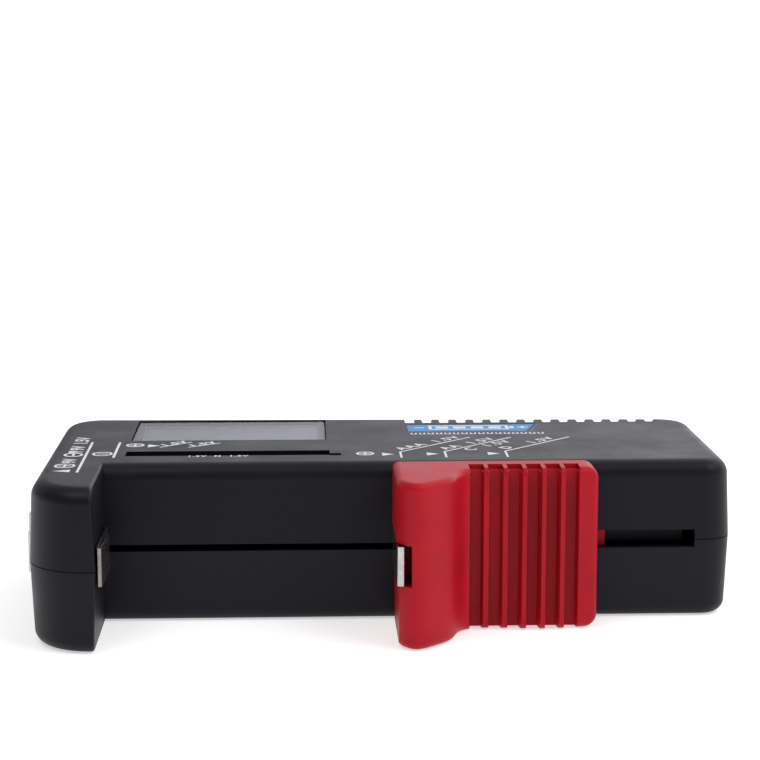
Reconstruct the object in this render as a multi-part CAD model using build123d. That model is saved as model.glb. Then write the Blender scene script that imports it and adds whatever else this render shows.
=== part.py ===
from build123d import *
import math
import os

# Battery tester: a flat black casing whose head stands out at the near side, and a
# red jaw that slides along that side to close on the cell under test.
# Millimetres. Origin at the bottom centre. +X runs from the head to the tail,
# +Y away from the cell bay, +Z up through the display face.

# Casing
CASE_HEIGHT = 25.0
PARTING_Z = 12.65
WALL = 1.8
HEAD_END_X = -54.1
HEAD_FACE_X = -43.4
HEAD_TIP_Y = -30.0
SIDE_Y = -12.4
FAR_Y = 30.15
FAR_TAIL_Y = 27.3
TAIL_X = 54.5
UPPER_DRAFT = 0.53
LOWER_DRAFT = 0.56
TOP_FILLET = 2.5
BOTTOM_FILLET = 2.1
HEAD_NEAR_R = 9.5
HEAD_FAR_R = 6.8
TAIL_NEAR_R = 4.5
TAIL_FAR_R = 6.0
FACE_EDGE_R = 0.5
SEAM_HEIGHT = 0.16
SEAM_DEPTH = 0.22
CLEARANCE = 0.15
FIT = 0.1
OVERRUN = 1.0

# Far-side finger grip, shared by both shells
GRIP_X0 = 4.7
GRIP_PITCH = 2.97
GRIP_RIB = 1.2
GRIP_GROOVES = 15
GRIP_FLOOR_Y = 24.0
GRIP_EDGE_R = 1.4
GRIP_BACKING_Y = 22.2

# Display
WINDOW = (-41.05, -9.0, 8.05, 26.0)
WINDOW_SEAT_Z = 24.0
WINDOW_TOP_Z = 24.85
WINDOW_LEDGE = 1.3
LCD_TOP_Z = 23.1
LCD_GLASS = 1.1
LCD_CONTACT_EDGE = 3.2
BOARD_TOP_Z = 16.4
BOARD_THICK = 1.6
BOARD = (-43.6, -6.4, 2.2, 25.8)
LCD_PANEL = (-41.3, -8.8, 7.85, 25.9)
LCD_REFLECTOR = (-40.9, -9.2, 11.25, 25.7)
LCD_HOLDER = (-42.1, -8.2, 6.85, 25.4)
HOLDER_OPENING = (-41.1, -9.2, 7.95, 24.5)
LCD_LIFT_Z = 20.5
HOLDER_TOP_Z = 20.4
ZEBRA_STRIP = (-38.9, -11.3, 8.25, 10.65)
BADGE = ((4.8, 14.85), (25.6, 14.85), (27.65, 21.65), (4.8, 21.65))
BADGE_RECESS = 0.3
BADGE_THICK = 0.26
LABEL = (-36.0, -8.0, 2.0, 22.0)
LABEL_RECESS = 0.3
LABEL_FACE_Z = 0.08
LABEL_GAP = 0.3

# Small-cell slot in the top face
SLOT = (-41.0, -8.65, -4.9, -1.15)
SLOT_NECK = (-8.65, -6.85, -5.3, -3.6)
SLOT_FLOOR_Z = 15.4
TROUGH_WALL = 1.2

# Slot in the side face that the jaw runs in
TRACK_X0 = -43.3
TRACK_X1 = 48.4
TRACK_LOW_Z = 11.35
TRACK_MID_Z = 12.45
TRACK_HIGH_Z = 14.15
TALL_TRACK_X0 = 3.5

# Red jaw
JAW_X = 0.9
JAW_LOW_X = 1.3
JAW_END_X = 32.4
JAW_BACK_Y = -12.7
JAW_BOTTOM_Z = 0.1
JAW_TOP_Z = 25.4
# The front skin in plan, from the beak's root round its tip and along the grip
JAW_SKIN = (
    (0.9, -25.4),
    (1.55, -27.9),
    (3.5, -29.65),
    (7.0, -27.75),
    (9.75, -24.4),
    (11.0, -20.9),
    (12.4, -19.2),
    (15.1, -18.5),
    (21.2, -19.05),
    (27.0, -18.9),
    (32.4, -17.8),
)
JAW_CORNER_R = 2.0
JAW_EDGE_R = 1.1
JAW_GROOVE_X0 = 12.45
JAW_GROOVE_PITCH = 2.93
JAW_GROOVE = 2.3
JAW_GROOVE_SLOPE = 0.35
JAW_GROOVE_FRONT_Y = -19.2
JAW_GROOVES = 6
JAW_GROOVE_FLOOR_Y = -16.5
JAW_POCKET_BACK_Y = -15.1
JAW_POCKET_Z = 24.7
JAW_SEAT = (3.1, -22.5)
NECK = (3.0, 30.0)
NECK_KEY_X0 = 20.0
FLANGE = (3.0, 34.5)
FLANGE_FRONT_Y = -10.45
FLANGE_BACK_Y = -9.45
FLANGE_Z = (10.0, 15.0)
TOWER = (10.0, 22.0)
TOWER_TOP_Z = 19.0
# Room in the tail's near corner for the flange's end
FLANGE_POCKET = (46.0, 52.7, -10.58, -8.0, 9.5, 15.5)

# Sheet-metal contacts
STRIP_Z = (9.85, 15.8)
HEAD_STRIP_Z = (10.35, 16.15)
SHEET = 0.35
RAIL_Z = (15.2, 18.2)
GUIDE_RIB = (-13.0, 47.2, -7.9, -6.7)
GUIDE_LOW_Z = 11.25
PAD_FACE_X = -54.5
PAD_JOGGLE = 0.2
PAD_Z = (10.2, 16.3)
PADS_Y = ((-19.6, -8.4), (-5.5, 3.5))
FOLD_Y = -28.9
FOLD_END_Y = -24.0
FOLD_WIDTH = 0.85
FOLD_BEND = 0.24
HEAD_FOLD_BEND = 0.2
TONGUE_STRIP_Z = (11.55, 12.25)
TONGUE_BEND = 0.8
TAB = 0.9
TAB_X = (11.0, 12.4)
TAB_TOP_Z = 18.1
WIPER_THICK = 0.25
WIPER_X = (10.9, 14.0, 17.5, 20.5)
WIPER_BASE_X1 = 13.0
WIPER_RISE = 0.685
FINGERS_Z = ((15.4, 16.5), (16.9, 18.0))
RIVET_X = 11.7
RIVET_BITE = 0.35
RIVET_HEAD_R = 0.7
RIVET_HEAD = 0.3
RIVET_Z = (16.0, 17.5)
RIVET_R = 0.45

# Supply cell, size AAA, and its compartment
CELL_R = 5.25
CELL_Y = 15.3
CELL_Z = 7.6
CELL_X = (2.9, 46.4)
CELL_NUB = 0.8
BAY_IN = (1.2, 50.4, 9.4, 21.2)
BAY_WALL = 1.2
BAY_TOP_Z = 12.0
DOOR_X0 = 1.0
DOOR_Y = (9.35, 21.25)
DOOR_THICK = 1.6
TONGUE = 0.8
TONGUE_Z = (0.85, 1.5)
RIDGES = 5
RIDGE_X0 = 44.5
RIDGE_PITCH = 1.3
RIDGE_GAP = 0.6
RIDGE_HALF = 3.5
ARROW_X = (38.0, 41.5)
ARROW_HALF = 2.0
MARK_DEPTH = 0.35

# Supply cell's contacts: half width, foot and top of the plates, dome and spring
CELL_CONTACT = (4.0, 3.5, 13.0)
CONTACT_THICK = 0.35
DOME = 0.3
DOME_R = 2.2
NUB_R = 1.9
SPRING_WIRE_R = 0.3
SPRING_TIP_R = 1.9
SPRING_TURNS = 3
SPRING_CONE = 25

# Screws
CASE_SCREWS = ((-48.4, -23.4), (-48.8, 23.3), (48.8, 4.2), (-3.4, 22.6))
SCREW_R = 1.05
SCREW_HEAD_R = 2.1
SCREW_SEAT_Z = 4.4
POST_TOP_Z = 7.0
BOARD_SCREWS = ((-41.0, 4.9), (-10.2, 4.9))
BOARD_SCREW_R = 0.75
BOARD_SCREW_HEAD_R = 1.6
BOARD_SCREW_HEAD = 1.2
BOARD_SCREW_TOP_Z = 20.5
SCREW_HEAD = 1.5
SCREW_HEAD_EDGE = 0.6
SCREW_TIP_R = 0.2
CASE_POST_R = 2.6
SCREW_POST_R = 3.3
SCREW_RECESS_R = 2.4
BOARD_POST_R = 1.9
POINT_Z = 14.0
POINT_LENGTH = 1.4
CROSS_ARM = 1.3
CROSS_WIDTH = 0.5
CROSS_DEPTH = 0.7
THREAD_TOP_Z = (16.0, 21.0)

# Nine-volt contacts and the strips' slits
PAD_LEG = 1.8
PAD_LEG_Z = 19.12
PAD_LEG_X = -50.9
PAD_SLIT_Z = (18.85, 19.4)
SLIT_Y = (-14.7, -14.1)
STRIP_ROOT = (-48.4, -14.4)
STRIP_FOLD_Y = -29.4
STRIP_END_Y = -20.0

# Contact leaves in the small-cell slot: X of the three bends, and the tails' width in X
LEAF_X = (-40.7, -34.9, -28.9)
LEAF_Z = (15.6, 22.0)
LEAF_THICK = 0.25
PLUS_TAIL_X = (-34.4, -33.2)
MINUS_TAIL_X = (-37.4, -36.2)
LEAF_REST = 0.2
LEAF_BOW = 0.55
LEAF_BEND = 2.0
LEAF_BRIDGE = 0.6
PLUS_TAIL_Z = 13.6
PLUS_TAIL_Y = 4.2
MINUS_TAIL_Z = 12.5
MINUS_TAIL_Y = 6.2
TAIL_BEND = 0.4
TAIL_TOP_Z = 17.2
TAIL_BOARD_Z = 14.75

# Parts under the board
BOARD_UNDER = BOARD_TOP_Z - BOARD_THICK
BOARD_CORNER_R = 1.0
BLOB_PLACE = (-25.0, 17.6)
BLOB_THICK = 1.8
BLOB_R = 6.0
BLOB_EDGE_R = 1.5
RESISTOR_X = (-37.0, -30.7)
RESISTORS_Y = (9.0, 12.4)
RESISTOR_DROP = 1.6
RESISTOR_R = 1.15
RESISTOR_EDGE_R = 0.4
RESISTOR_LEG = 1.4
LEG = 0.5
LEG_BEND = 0.6
CHIP_SIZE = (2.0, 1.25, 0.6)
CHIPS = ((-18.5, 10.0), (-18.5, 13.0), (-18.5, 16.0), (-14.5, 10.0), (-14.5, 13.0), (-35.5, 19.0))
CAN_X = (-19.0, -12.0)
CAN_Y = 22.5
CAN_DROP = 2.7
CAN_R = 2.5
CAN_EDGE_R = 0.5
CAN_LEG = 1.4
CAN_LEG_GAP = 2.0

# Centre lines of the leads
LEAD_R = 0.5
BEND_SHARE = 0.45
LEADS = {
    "lead_common": (
        (-48.0, -14.0, 13.4),
        (-48.4, -9.0, 12.6),
        (-48.6, -2.0, 11.0),
        (-46.8, 5.0, 10.2),
        (-43.6, 9.6, 10.6),
        (-42.4, 11.6, 12.2),
        (-42.4, 11.6, BOARD_UNDER),
    ),
    "lead_nine_volt": (
        (-51.4, -1.0, 18.8),
        (-51.2, 0.2, 16.4),
        (-50.6, 4.0, 13.6),
        (-49.0, 9.0, 11.6),
        (-45.4, 15.0, 11.0),
        (-42.4, 18.6, 12.2),
        (-42.4, 18.6, BOARD_UNDER),
    ),
    "lead_slide": (
        (47.3, -5.5, 16.8),
        (44.0, -2.0, 17.4),
        (34.0, -0.4, 18.0),
        (22.0, 0.4, 17.6),
        (10.0, 1.8, 18.2),
        (0.0, 4.0, 18.6),
        (-5.0, 5.8, 18.8),
        (-7.2, 7.0, 18.4),
        (-7.2, 7.0, BOARD_TOP_Z),
    ),
    "lead_cell_plus": (
        (1.4, 13.8, 13.0),
        (1.0, 13.8, 15.4),
        (-1.6, 14.2, 18.0),
        (-5.0, 13.6, 18.8),
        (-7.2, 13.2, 18.4),
        (-7.2, 13.2, BOARD_TOP_Z),
    ),
    "lead_cell_minus": (
        (50.0, 16.8, 13.0),
        (49.6, 17.2, 15.6),
        (45.0, 18.2, 17.4),
        (34.0, 18.8, 18.0),
        (22.0, 18.4, 17.4),
        (10.0, 19.0, 18.0),
        (0.0, 18.8, 18.6),
        (-4.6, 18.9, 18.8),
        (-7.2, 19.2, 18.4),
        (-7.2, 19.2, BOARD_TOP_Z),
    ),
}


def block(x0, x1, y0, y1, z0, z1):
    """A box between two corners."""
    size = Box(x1 - x0, y1 - y0, z1 - z0)
    return Pos((x0 + x1) / 2, (y0 + y1) / 2, (z0 + z1) / 2) * size


def post(x, y, z0, z1, radius):
    """An upright cylinder."""
    return Pos(x, y, (z0 + z1) / 2) * Cylinder(radius, z1 - z0)


def rod_x(x0, x1, y, z, radius):
    """A cylinder along X."""
    return Pos((x0 + x1) / 2, y, z) * Rot(0, 90, 0) * Cylinder(radius, x1 - x0)


def rod_y(x, y0, y1, z, radius):
    """A cylinder along Y."""
    return Pos(x, (y0 + y1) / 2, z) * Rot(90, 0, 0) * Cylinder(radius, y1 - y0)


def rounded_face(x0, x1, y0, y1, radii):
    """A rectangle whose corners, from near left anticlockwise, have the given radii."""
    corners = ((x0, y0), (x1, y0), (x1, y1), (x0, y1))
    return make_face(FilletPolyline(*corners, radius=radii, close=True))


def rounded_block(x0, x1, y0, y1, z0, z1, radii):
    return Pos(0, 0, z0) * extrude(rounded_face(x0, x1, y0, y1, radii), amount=z1 - z0)


def far_y(x):
    """The far side's Y, which falls slightly from the head to the tail."""
    return FAR_Y + (FAR_TAIL_Y - FAR_Y) * (x - HEAD_END_X) / (TAIL_X - HEAD_END_X)


def quad_face(x0, x1, y0, radii):
    """An outline with straight near, left and right sides and the sloping far side."""
    corners = ((x0, y0), (x1, y0), (x1, far_y(x1)), (x0, far_y(x0)))
    return make_face(FilletPolyline(*corners, radius=radii, close=True))


def head_face():
    """Plan of the head, from the near tip to the far side."""
    return quad_face(HEAD_END_X, HEAD_FACE_X, HEAD_TIP_Y, [HEAD_NEAR_R, 0, 0, HEAD_FAR_R])


def body_face():
    """Plan of the body, which starts inside the head."""
    left = HEAD_END_X + HEAD_FAR_R
    return quad_face(left, TAIL_X, SIDE_Y, [0, TAIL_NEAR_R, TAIL_FAR_R, 0])


def outline_block(inset, z0, z1):
    """The casing's L-shaped outline, drawn in by an inset, as a straight-sided slab."""
    head = extrude(offset(head_face(), amount=-inset), amount=z1 - z0)
    body = extrude(offset(body_face(), amount=-inset), amount=z1 - z0)
    return Pos(0, 0, z0) * (head + body)


def drafted_half(height, draft, edge_radius):
    """One half of the casing's outer form, standing on the parting plane."""
    angle = math.degrees(math.atan2(draft, height))
    head = extrude(head_face(), amount=height, taper=angle)
    rim = head.faces().sort_by(Axis.Z)[-1].edges().sort_by(Axis.X)[:-1]
    head = fillet(rim, edge_radius)
    face_edges = head.faces().sort_by(Axis.X)[-1].edges().sort_by(Axis.Z)[1:]
    head = fillet(face_edges, FACE_EDGE_R)
    body = extrude(body_face(), amount=height, taper=angle)
    rim = body.faces().sort_by(Axis.Z)[-1].edges().sort_by(Axis.X)[1:]
    body = fillet(rim, edge_radius)
    return head + body


def upper_form():
    half = drafted_half(CASE_HEIGHT - PARTING_Z, UPPER_DRAFT, TOP_FILLET)
    return Pos(0, 0, PARTING_Z) * half


def lower_form():
    half = drafted_half(PARTING_Z, LOWER_DRAFT, BOTTOM_FILLET)
    return Pos(0, 0, PARTING_Z) * mirror(half, about=Plane.XY)


def cavity():
    """The hollow inside both shells, with solid backing left behind the finger grip."""
    hollow = outline_block(WALL, WALL, CASE_HEIGHT - WALL)
    grip_length = GRIP_GROOVES * GRIP_PITCH
    backing = block(
        GRIP_X0 - WALL,
        GRIP_X0 + grip_length + WALL,
        GRIP_BACKING_Y,
        FAR_Y,
        0,
        CASE_HEIGHT,
    )
    return hollow - backing


def grip_grooves():
    """Upright grooves across the far side, rounding over at the top and bottom edges."""
    top = CASE_HEIGHT
    radius = GRIP_EDGE_R
    inner = GRIP_FLOOR_Y - radius
    outer = FAR_Y + OVERRUN
    outline = [
        Line((outer, -OVERRUN), (inner, -OVERRUN)),
        Line((inner, -OVERRUN), (inner, 0)),
        RadiusArc((inner, 0), (GRIP_FLOOR_Y, radius), -radius),
        Line((GRIP_FLOOR_Y, radius), (GRIP_FLOOR_Y, top - radius)),
        RadiusArc((GRIP_FLOOR_Y, top - radius), (inner, top), -radius),
        Line((inner, top), (inner, top + OVERRUN)),
        Line((inner, top + OVERRUN), (outer, top + OVERRUN)),
        Line((outer, top + OVERRUN), (outer, -OVERRUN)),
    ]
    groove = extrude(make_face(outline), amount=GRIP_PITCH - GRIP_RIB)
    cutter = Plane.YZ * groove
    grooves = Part()
    for index in range(GRIP_GROOVES):
        grooves += Pos(GRIP_X0 + index * GRIP_PITCH, 0, 0) * cutter
    return grooves


def bent_strip(points, bend, low, high, plane="XY", thick=SHEET):
    """Sheet metal folded along a line in one plane and as wide as low to high across it."""
    line = FilletPolyline(*points, radius=bend)
    solid = extrude(trace(line, line_width=thick), amount=high - low)
    if plane == "XY":
        return Pos(0, 0, low) * solid
    if plane == "XZ":
        return Plane.XZ * Pos(0, 0, -high) * solid
    return Plane.YZ * Pos(0, 0, low) * solid


def bay_door_cut(grow):
    """Room for the battery door: its panel, its side tongues and its way out at the tail."""
    panel = block(
        DOOR_X0 - grow,
        TAIL_X + OVERRUN,
        DOOR_Y[0] - grow,
        DOOR_Y[1] + grow,
        -OVERRUN if grow else 0,
        DOOR_THICK + grow,
    )
    tongues = block(
        DOOR_X0 - grow,
        TAIL_X + OVERRUN,
        DOOR_Y[0] - TONGUE - grow,
        DOOR_Y[1] + TONGUE + grow,
        TONGUE_Z[0] - grow,
        TONGUE_Z[1] + grow,
    )
    return panel + tongues


def badge_face():
    """The badge's outline: a bar with a slanted right end."""
    return make_face(Polyline(*BADGE, close=True))


def strip_slits():
    """Slits in both shells for the head strip and the two nine-volt contacts."""
    head_slit = block(
        HEAD_FACE_X - WALL - OVERRUN,
        HEAD_FACE_X + OVERRUN,
        *SLIT_Y,
        HEAD_STRIP_Z[0] - FIT,
        HEAD_STRIP_Z[1] + FIT,
    )
    slits = head_slit
    for y0, y1 in PADS_Y:
        middle = (y0 + y1) / 2
        slits += block(
            HEAD_END_X - OVERRUN,
            HEAD_END_X + 2 * WALL,
            middle - PAD_LEG - FIT,
            middle + PAD_LEG + FIT,
            *PAD_SLIT_Z,
        )
    return slits


def make_upper_shell():
    shell = upper_form() - cavity()
    x0, x1, y0, y1 = SLOT
    trough = block(
        x0 - TROUGH_WALL,
        SLOT_NECK[1] + TROUGH_WALL,
        y0 - TROUGH_WALL,
        y1 + TROUGH_WALL,
        SLOT_FLOOR_Z - TROUGH_WALL,
        CASE_HEIGHT - WALL,
    )
    guide = block(*GUIDE_RIB, GUIDE_LOW_Z, CASE_HEIGHT - WALL)
    apron = block(TRACK_X0, TALL_TRACK_X0, SIDE_Y, SIDE_Y + WALL, TRACK_MID_Z, PARTING_Z)
    shell += trough + guide + apron
    for x, y in CASE_SCREWS:
        shell += post(x, y, POST_TOP_Z, CASE_HEIGHT - WALL, CASE_POST_R)
        shell -= post(x, y, POST_TOP_Z - OVERRUN, THREAD_TOP_Z[0], SCREW_R)
    for x, y in BOARD_SCREWS:
        shell += post(x, y, BOARD_TOP_Z, CASE_HEIGHT - WALL, BOARD_POST_R)
        shell -= post(x, y, BOARD_TOP_Z - OVERRUN, THREAD_TOP_Z[1], BOARD_SCREW_R)
    shell -= block(x0, x1, y0, y1, SLOT_FLOOR_Z, CASE_HEIGHT + OVERRUN)
    shell -= block(*SLOT_NECK, SLOT_FLOOR_Z, CASE_HEIGHT + OVERRUN)
    # Slits in the trough's floor for the two small-cell contacts
    below = SLOT_FLOOR_Z - TROUGH_WALL - OVERRUN
    slit_depth = 2 * LEAF_THICK
    plus_slit = (PLUS_TAIL_X[0] - FIT, PLUS_TAIL_X[1] + FIT)
    minus_slit = (MINUS_TAIL_X[0] - FIT, MINUS_TAIL_X[1] + FIT)
    shell -= block(*plus_slit, y1 - slit_depth, y1, below, SLOT_FLOOR_Z)
    shell -= block(*minus_slit, y0, y0 + slit_depth, below, SLOT_FLOOR_Z)
    front = SIDE_Y - OVERRUN
    shell -= block(TALL_TRACK_X0, TRACK_X1, front, SIDE_Y + WALL, PARTING_Z - OVERRUN, TRACK_HIGH_Z)
    shell -= block(*FLANGE_POCKET)
    wx0, wx1, wy0, wy1 = WINDOW
    shell -= block(wx0, wx1, wy0, wy1, WINDOW_SEAT_Z, CASE_HEIGHT + OVERRUN)
    shell -= block(
        wx0 + WINDOW_LEDGE,
        wx1 - WINDOW_LEDGE,
        wy0 + WINDOW_LEDGE,
        wy1 - WINDOW_LEDGE,
        CASE_HEIGHT - WALL - OVERRUN,
        CASE_HEIGHT,
    )
    shell -= Pos(0, 0, CASE_HEIGHT - BADGE_RECESS) * extrude(badge_face(), amount=OVERRUN)
    shell -= grip_grooves()
    shell -= strip_slits()
    return shell


def make_lower_shell():
    shell = lower_form() - cavity()
    x0, x1, y0, y1 = BAY_IN
    walls = block(
        x0 - BAY_WALL,
        x1 + BAY_WALL,
        y0 - BAY_WALL,
        y1 + BAY_WALL,
        DOOR_THICK,
        BAY_TOP_Z,
    )
    walls -= block(x0, x1, y0, y1, 0, BAY_TOP_Z + OVERRUN)
    shell += walls
    for x, y in CASE_SCREWS:
        shell += post(x, y, WALL / 2, POST_TOP_Z, SCREW_POST_R) & outline_block(WALL / 2, 0, POST_TOP_Z)
        shell -= post(x, y, -OVERRUN, SCREW_SEAT_Z, SCREW_RECESS_R)
        shell -= post(x, y, SCREW_SEAT_Z - OVERRUN, POST_TOP_Z + OVERRUN, SCREW_R + CLEARANCE)
    front = SIDE_Y - OVERRUN
    shell -= block(TRACK_X0, TRACK_X1, front, SIDE_Y + WALL, TRACK_LOW_Z, PARTING_Z + OVERRUN)
    shell -= block(*FLANGE_POCKET)
    shell -= bay_door_cut(CLEARANCE)
    shell -= block(*LABEL, -OVERRUN, LABEL_RECESS)
    shell -= grip_grooves()
    shell -= strip_slits()
    seam = outline_block(-OVERRUN, PARTING_Z - SEAM_HEIGHT, PARTING_Z + OVERRUN)
    seam -= outline_block(SEAM_DEPTH, 0, CASE_HEIGHT)
    return shell - seam


def make_display_window():
    x0, x1, y0, y1 = WINDOW
    plate = block(x0 + FIT, x1 - FIT, y0 + FIT, y1 - FIT, WINDOW_SEAT_Z, WINDOW_TOP_Z)
    return chamfer(plate.faces().sort_by(Axis.Z)[-1].edges(), CLEARANCE)


def make_badge_plate():
    face = offset(badge_face(), amount=-FIT / 2)
    return Pos(0, 0, CASE_HEIGHT - BADGE_RECESS) * extrude(face, amount=BADGE_THICK)


def make_back_label():
    x0, x1, y0, y1 = LABEL
    return block(x0 + LABEL_GAP, x1 - LABEL_GAP, y0 + LABEL_GAP, y1 - LABEL_GAP, LABEL_FACE_Z, LABEL_RECESS)


def make_battery_door():
    door = bay_door_cut(0) & lower_form()
    # Finger ridges and an arrow that points the way the door slides off
    for index in range(RIDGES):
        x = RIDGE_X0 + index * RIDGE_PITCH
        door -= block(x, x + RIDGE_GAP, CELL_Y - RIDGE_HALF, CELL_Y + RIDGE_HALF, -OVERRUN, MARK_DEPTH)
    base, tip = ARROW_X
    corners = ((base, CELL_Y - ARROW_HALF), (tip, CELL_Y), (base, CELL_Y + ARROW_HALF))
    arrow = make_face(Polyline(*corners, close=True))
    door -= extrude(arrow, amount=MARK_DEPTH)
    return door


def cross_recess(x, y, face_z, arm):
    """The cross sunk in a screw head that faces down."""
    half = CROSS_WIDTH / 2
    depth = (face_z - OVERRUN, face_z + CROSS_DEPTH)
    along = block(x - arm, x + arm, y - half, y + half, *depth)
    across = block(x - half, x + half, y - arm, y + arm, *depth)
    return along + across


def make_casing_screws():
    screws = []
    for x, y in CASE_SCREWS:
        head = post(x, y, SCREW_SEAT_Z - SCREW_HEAD, SCREW_SEAT_Z, SCREW_HEAD_R)
        head = fillet(head.faces().sort_by(Axis.Z)[0].edges(), SCREW_HEAD_EDGE)
        head -= cross_recess(x, y, SCREW_SEAT_Z - SCREW_HEAD, CROSS_ARM)
        tip = Cone(SCREW_R, SCREW_TIP_R, POINT_LENGTH, align=(Align.CENTER, Align.CENTER, Align.MIN))
        screws.append(head + post(x, y, SCREW_SEAT_Z, POINT_Z, SCREW_R) + Pos(x, y, POINT_Z) * tip)
    return Compound(children=screws)


def make_board_screws():
    screws = []
    seat = BOARD_TOP_Z - BOARD_THICK
    for x, y in BOARD_SCREWS:
        head = post(x, y, seat - BOARD_SCREW_HEAD, seat, BOARD_SCREW_HEAD_R)
        head -= cross_recess(x, y, seat - BOARD_SCREW_HEAD, BOARD_SCREW_R)
        screws.append(head + post(x, y, seat, BOARD_SCREW_TOP_Z, BOARD_SCREW_R))
    return Compound(children=screws)


def jaw_plan():
    """Plan of the jaw: a rounded beak at the cell end that sweeps back to the ribbed grip."""
    outline = [
        Line((JAW_X, JAW_BACK_Y), JAW_SKIN[0]),
        Spline(*JAW_SKIN, tangents=((0, -1), (1, 0.2)), tangent_scalars=(1, 1)),
        Line(JAW_SKIN[-1], (JAW_END_X, JAW_BACK_Y)),
        Line((JAW_END_X, JAW_BACK_Y), (JAW_X, JAW_BACK_Y)),
    ]
    return make_face(outline)


def jaw_groove():
    """One finger groove, open at the bottom, with a pocket sunk in the top face."""
    outer = HEAD_TIP_Y - OVERRUN
    plan = make_face(
        Polyline(
            (0, outer),
            (0, JAW_GROOVE_FRONT_Y),
            (JAW_GROOVE_SLOPE, JAW_GROOVE_FLOOR_Y),
            (JAW_GROOVE - JAW_GROOVE_SLOPE, JAW_GROOVE_FLOOR_Y),
            (JAW_GROOVE, JAW_GROOVE_FRONT_Y),
            (JAW_GROOVE, outer),
            close=True,
        )
    )
    channel = Pos(0, 0, -OVERRUN) * extrude(plan, amount=JAW_POCKET_Z + OVERRUN)
    pocket = block(0, JAW_GROOVE, outer, JAW_POCKET_BACK_Y, JAW_POCKET_Z, JAW_TOP_Z + OVERRUN)
    return channel + pocket


def make_slide_grip():
    jaw = Pos(0, 0, JAW_BOTTOM_Z) * extrude(jaw_plan(), amount=JAW_TOP_Z - JAW_BOTTOM_Z)
    end_face = jaw.faces().sort_by(Axis.X)[-1]
    ends = [edge for edge in end_face.edges() if edge.bounding_box().size.Z < FACE_EDGE_R]
    jaw = fillet(ends, JAW_CORNER_R)
    top = jaw.faces().sort_by(Axis.Z)[-1]
    rim = [edge for edge in top.edges() if is_front_rim(edge)]
    jaw = fillet(rim, JAW_EDGE_R)
    for index in range(JAW_GROOVES):
        jaw -= Pos(JAW_GROOVE_X0 + index * JAW_GROOVE_PITCH, 0, 0) * jaw_groove()
    # Seat for the folded end of the contact strip
    seat_z = (STRIP_Z[0] - CLEARANCE, STRIP_Z[1] + CLEARANCE)
    jaw -= block(JAW_X - OVERRUN, JAW_SEAT[0], HEAD_TIP_Y - OVERRUN, JAW_SEAT[1], *seat_z)
    # The cell end steps back below the strip's top edge, so that the strip lies flush
    back = JAW_BACK_Y + OVERRUN
    jaw -= block(JAW_X - OVERRUN, JAW_LOW_X, HEAD_TIP_Y - OVERRUN, back, JAW_BOTTOM_Z - OVERRUN, seat_z[1])
    # Neck through the track, with a taller key at its tail end, and the flange inside
    root_y = JAW_BACK_Y - FACE_EDGE_R
    neck_low = TRACK_LOW_Z + FIT
    neck = block(*NECK, root_y, FLANGE_BACK_Y, neck_low, TRACK_MID_Z - FIT)
    key = block(NECK_KEY_X0, NECK[1], root_y, FLANGE_BACK_Y, neck_low, TRACK_HIGH_Z - CLEARANCE)
    flange = block(*FLANGE, FLANGE_FRONT_Y, FLANGE_BACK_Y, *FLANGE_Z)
    tower = block(*TOWER, FLANGE_FRONT_Y, FLANGE_BACK_Y, FLANGE_Z[0], TOWER_TOP_Z)
    jaw += neck + key + flange + tower
    for z in RIVET_Z:
        jaw -= rod_y(RIVET_X, FLANGE_FRONT_Y + RIVET_BITE, FLANGE_BACK_Y + OVERRUN, z, RIVET_R)
    return jaw


def is_front_rim(edge):
    """True for the top edges that follow the jaw's cell end and front skin."""
    box = edge.bounding_box()
    at_back = box.min.Y > JAW_BACK_Y - FACE_EDGE_R
    return not at_back and box.min.X < JAW_END_X - JAW_CORNER_R - FACE_EDGE_R


def make_slide_contact_strip():
    x = JAW_LOW_X - FIT / 2 - SHEET / 2
    turned = x + FOLD_WIDTH
    root_y = JAW_BACK_Y - FACE_EDGE_R
    line = ((x, root_y), (x, FOLD_Y), (turned, FOLD_Y), (turned, FOLD_END_Y))
    plate = bent_strip(line, FOLD_BEND, *STRIP_Z)
    back = FLANGE_BACK_Y + SHEET / 2
    tongue_line = ((x, root_y - TAB), (x, back), (TAB_X[1], back))
    tongue = bent_strip(tongue_line, TONGUE_BEND, *TONGUE_STRIP_Z)
    tab = block(*TAB_X, FLANGE_BACK_Y, FLANGE_BACK_Y + SHEET, TONGUE_STRIP_Z[0], TAB_TOP_Z)
    strip = plate + tongue + tab
    for z in RIVET_Z:
        strip -= rod_y(RIVET_X, FLANGE_BACK_Y - OVERRUN, FLANGE_BACK_Y + OVERRUN, z, RIVET_R)
    return strip


def make_slide_wiper():
    y = FLANGE_BACK_Y + SHEET + WIPER_THICK / 2
    crown = GUIDE_RIB[2] - WIPER_RISE
    x0, x1, x2, x3 = WIPER_X
    line = ((x0, y), (x1, y), (x2, crown), (x3, y))
    half = WIPER_THICK / 2
    wiper = block(x0, WIPER_BASE_X1, y - half, y + half, FINGERS_Z[0][0], FINGERS_Z[1][1])
    for low, high in FINGERS_Z:
        wiper += bent_strip(line, FACE_EDGE_R, low, high, thick=WIPER_THICK)
    for z in RIVET_Z:
        wiper -= rod_y(RIVET_X, y - OVERRUN, y + OVERRUN, z, RIVET_R)
    return wiper


def make_wiper_rivets():
    rivets = []
    face = FLANGE_BACK_Y + SHEET + WIPER_THICK
    for z in RIVET_Z:
        shank = rod_y(RIVET_X, FLANGE_FRONT_Y + RIVET_BITE, face, z, RIVET_R)
        head = rod_y(RIVET_X, face, face + RIVET_HEAD, z, RIVET_HEAD_R)
        head = fillet(head.faces().sort_by(Axis.Y)[-1].edges(), RIVET_HEAD / 2)
        rivets.append(shank + head)
    return Compound(children=rivets)


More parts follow.
